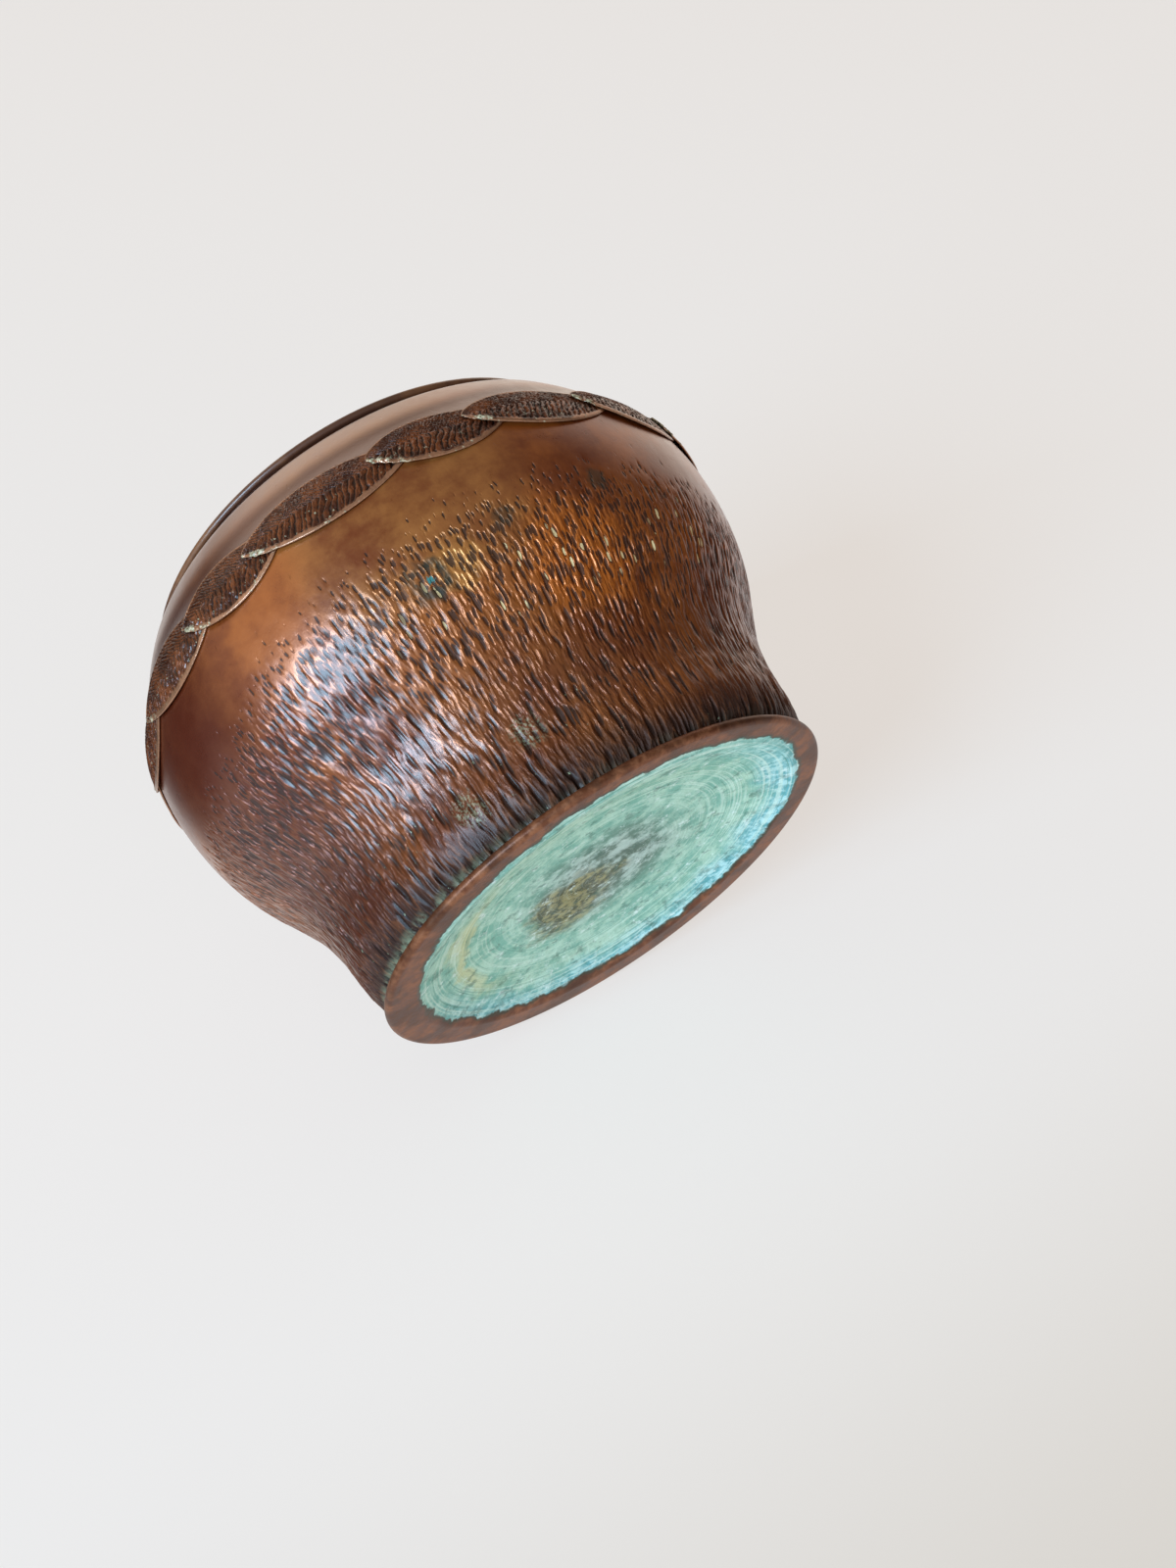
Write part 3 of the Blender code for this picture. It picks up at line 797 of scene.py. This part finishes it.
def make_leaf_copper():
    """Darker copper than the wall's: black in the veins, bright along the rubbed edges, with a painted
    highlight on the lower ones.
    """
    made, tree, shader, place = new_material("leaf_copper", 1.0, 0.35)
    _, groove, lump = leaf_relief(tree, place, VEINS)
    edge = stored(tree, "to_edge")
    small = cloud(tree, place, 5 * MM, 5.0, 0.65, 0.2)
    grain = cloud(tree, place, 0.8 * MM, 3.0, 0.6, 0.1)
    colour = blend(tree, ease(tree, small, 0.38, 0.64), (0.055, 0.010, 0.003, 1), (0.20, 0.048, 0.010, 1))
    lower = ease(tree, stored(tree, "from_rib"), -2 * MM, 0.0, 1.0, 0.0)
    rubbed_and_lit_width = ease(tree, lower, 0.0, 1.0, 0.6 * MM, 2.4 * MM)
    rubbed_and_lit_width = times(tree, rubbed_and_lit_width, ease(tree, small, 0.3, 0.7, 0.35, 1.0))
    # The edges are rubbed bright copper, and the wide lower band is lightened further as a painted
    # highlight along the bead.
    rubbed = ease(tree, calc(tree, "DIVIDE", edge, rubbed_and_lit_width), 0.6, 1.0, 1.0, 0.0)
    rubbed = times(tree, rubbed, ease(tree, grain, 0.3, 0.6, 0.6, 1.0))
    colour = blend(tree, times(tree, rubbed, 0.65), colour, (0.52, 0.27, 0.15, 1))
    colour = blend(tree, times(tree, groove, 0.9), colour, (0.012, 0.004, 0.002, 1))
    dust = ease(tree, cloud(tree, place, 1.5 * MM, 2.0, 0.6, 0.6), 0.66, 0.70)
    dust = times(tree, dust, lower, 0.8)
    chalk = calc(tree, "MAXIMUM", times(tree, lump, 0.9), dust)
    pale = blend(tree, ease(tree, grain, 0.35, 0.65), (0.14, 0.13, 0.07, 1), (0.62, 0.55, 0.36, 1))
    colour = blend(tree, chalk, colour, pale)
    tree.links.new(colour, shader.inputs["Base Color"])
    solid = calc(tree, "SUBTRACT", 1.0, chalk)
    solid = times(tree, solid, ease(tree, rubbed, 0.0, 1.0, 0.35, 0.65))
    tree.links.new(solid, shader.inputs["Metallic"])
    gloss = ease(tree, small, 0.3, 0.7, 0.28, 0.42)
    for share, rougher in ((chalk, 0.35), (groove, 0.15)):
        gloss = calc(tree, "ADD", gloss, times(tree, share, rougher))
    tree.links.new(gloss, shader.inputs["Roughness"])
    shader.inputs["Coat Weight"].default_value = 0.55
    shader.inputs["Coat Roughness"].default_value = 0.2
    shader.inputs["Specular IOR Level"].default_value = 0.35
    skin = calc(tree, "ADD", times(tree, grain, 0.06 * MM), times(tree, small, 0.10 * MM))
    skin = calc(tree, "SUBTRACT", skin, times(tree, groove, 0.12 * MM))
    tree.links.new(bump(tree, skin), shader.inputs["Normal"])
    return made


veining = make_veining()
leaf_copper = make_leaf_copper()
pitches = [LEAF_PITCHES[i % len(LEAF_PITCHES)] for i in range(LEAF_COUNT)]
closing = 360.0 / sum(pitches)
notch = FIRST_NOTCH
for number, pitch in enumerate(pitches, start=1):
    pitch = pitch * closing
    span = TIP_REACH + pitch + ROOT_REACH
    name = "laurel_leaf_%02d" % number
    leaf = worked(name, leaf_sheet(name, notch - TIP_REACH, span), veining, VEINS, leaf_copper)
    sheet_step = leaf.modifiers.new("sheet", "SOLIDIFY")
    sheet_step.thickness = LEAF_SHEET_SHOWN * MM
    sheet_step.offset = -1.0
    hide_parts("leaf_%02d" % number)
    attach(leaf, "root")
    notch += pitch

# ---- Floor, light and camera -----------------------------------------------------------------
# The bowl lies on its side on a sheet of white paper, resting on its foot and belly. A large cool
# window stands in front on the left, bright warm walls stand behind and at the left, the rest is dim.

PAPER_HALF_WIDTH = 3.0
TOUCH_RADIUS = 97.4 * MM
TOUCH_HEIGHT = 72 * MM
WINDOW_DISTANCE = 3.0

camera_data = bpy.data.cameras.new("camera")
camera_data.lens = 38.35
camera_data.sensor_width = 36.0
camera_data.clip_start = 0.01
camera_data.clip_end = 20.0
camera = bpy.data.objects.new("camera", camera_data)
bpy.context.collection.objects.link(camera)
camera.location = (0.0, -481.27 * MM, -160.30 * MM)
aim = Vector((13.6 * MM, 9.6 * MM, 37.2 * MM))
look = (aim - camera.location).to_track_quat("-Z", "Y")
camera.rotation_mode = "QUATERNION"
camera.rotation_quaternion = look @ Quaternion((0, 0, 1), math.radians(-35.57))
bpy.context.scene.camera = camera
bpy.context.scene.view_settings.view_transform = "Standard"

LIES_TOWARDS = math.radians(202.5)
TILT = math.radians(15.72)
down = Vector((math.sin(LIES_TOWARDS), -math.cos(LIES_TOWARDS), 0.0))
floor_up = (-math.cos(TILT) * down + math.sin(TILT) * Vector((0, 0, 1))).normalized()
touch = TOUCH_RADIUS * down + Vector((0, 0, TOUCH_HEIGHT))
across = camera.rotation_quaternion @ Vector((1, 0, 0))
across = (across - across.dot(floor_up) * floor_up).normalized()
ahead = floor_up.cross(across)


def from_floor(bearing, rise):
    """A direction from its bearing on the floor, turned left from the picture's right, and its rise."""
    turn = math.radians(bearing)
    lift = math.radians(rise)
    flat = across * math.cos(turn) + ahead * math.sin(turn)
    return flat * math.cos(lift) + floor_up * math.sin(lift)


mesh = bpy.data.meshes.new("paper")
corners = []
for a, b in ((-1, -1), (1, -1), (1, 1), (-1, 1)):
    corners.append(tuple(touch + (across * a + ahead * b) * PAPER_HALF_WIDTH))
mesh.from_pydata(corners, [], [(0, 1, 2, 3)])
mesh.update()
paper = bpy.data.objects.new("paper", mesh)
bpy.context.collection.objects.link(paper)
made = bpy.data.materials.new("white_paper")
made.use_nodes = True
tree = made.node_tree
white = tree.nodes["Principled BSDF"]
white.inputs["Base Color"].default_value = (0.20, 0.21, 0.21, 1)
place = put(tree, "ShaderNodeTexCoord", out="Object")
to_corner = tuple(0.5 * across - 0.85 * ahead)
corner = put(tree, "ShaderNodeVectorMath", place, to_corner, operation="DOT_PRODUCT", out="Value")
# The paper glows by its own emission, dimmer and warmer towards one corner: a painted fall-off of light
# across the floor.
paper_falloff = blend(tree, ease(tree, corner, 0.04, 0.30), (0.67, 0.63, 0.60, 1), (0.50, 0.43, 0.35, 1))
tree.links.new(paper_falloff, white.inputs["Emission Color"])
white.inputs["Emission Strength"].default_value = 1.0
white.inputs["Roughness"].default_value = 0.9
white.inputs["Specular IOR Level"].default_value = 0.1
clear = put(tree, "ShaderNodeBsdfTransparent")
seen = put(tree, "ShaderNodeLightPath", out="Is Camera Ray")
behind = put(tree, "ShaderNodeNewGeometry", out="Backfacing")
shown = times(tree, seen, calc(tree, "SUBTRACT", 1.0, behind))
either = put(tree, "ShaderNodeMixShader", shown, clear, white.outputs[0])
tree.links.new(either, tree.nodes["Material Output"].inputs["Surface"])
mesh.materials.append(made)

world = bpy.data.worlds.new("room")
bpy.context.scene.world = world
world.use_nodes = True
tree = world.node_tree
way = put(tree, "ShaderNodeTexCoord", out="Generated")
room = (0.045, 0.034, 0.024, 1)
rise = put(tree, "ShaderNodeVectorMath", way, tuple(floor_up), operation="DOT_PRODUCT", out="Value")
room = blend(tree, ease(tree, rise, -0.30, -0.08, 1.0, 0.0), room, (0.80, 0.77, 0.75, 1))
for bearing, lift, core, rim, colour in (
    (0, 90, 15, 55, (0.36, 0.28, 0.21, 1)),            # ceiling
    (175, 22, 10, 42, (1.00, 0.76, 0.54, 1)),          # wall on the left
    (80, 6, 14, 38, (1.20, 1.02, 0.86, 1)),            # wall behind
    (122, 12, 8, 27, (1.35, 1.18, 1.02, 1)),           # brightest part of it
    (-57, -8, 20, 58, (1.25, 1.25, 1.22, 1)),          # bright paper in front on the right
    (165, -22, 16, 36, (0.04, 0.034, 0.03, 1)),        # paper in shade on the left
):
    towards = tuple(from_floor(bearing, lift))
    near_to = put(tree, "ShaderNodeVectorMath", way, towards, operation="DOT_PRODUCT", out="Value")
    share = ease(tree, near_to, math.cos(math.radians(rim)), math.cos(math.radians(core)))
    room = blend(tree, share, room, colour)
seen = put(tree, "ShaderNodeLightPath", out="Is Camera Ray")
room = blend(tree, seen, room, (0.86, 0.83, 0.81, 1))
tree.links.new(room, tree.nodes["Background"].inputs["Color"])
tree.nodes["Background"].inputs["Strength"].default_value = 1.0

middle = Vector((0, 0, 60 * MM))
lamp = bpy.data.lights.new("window", "AREA")
lamp.shape = "RECTANGLE"
lamp.size = 1.65
lamp.size_y = 1.25
lamp.energy = 150
lamp.color = (0.50, 0.75, 1.0)
window = bpy.data.objects.new("window", lamp)
bpy.context.collection.objects.link(window)
window.location = middle + Vector((-0.57, -0.81, -0.15)).normalized() * WINDOW_DISTANCE
window.rotation_mode = "QUATERNION"
window.rotation_quaternion = (middle - window.location).to_track_quat("-Z", "Y")
window.visible_camera = False
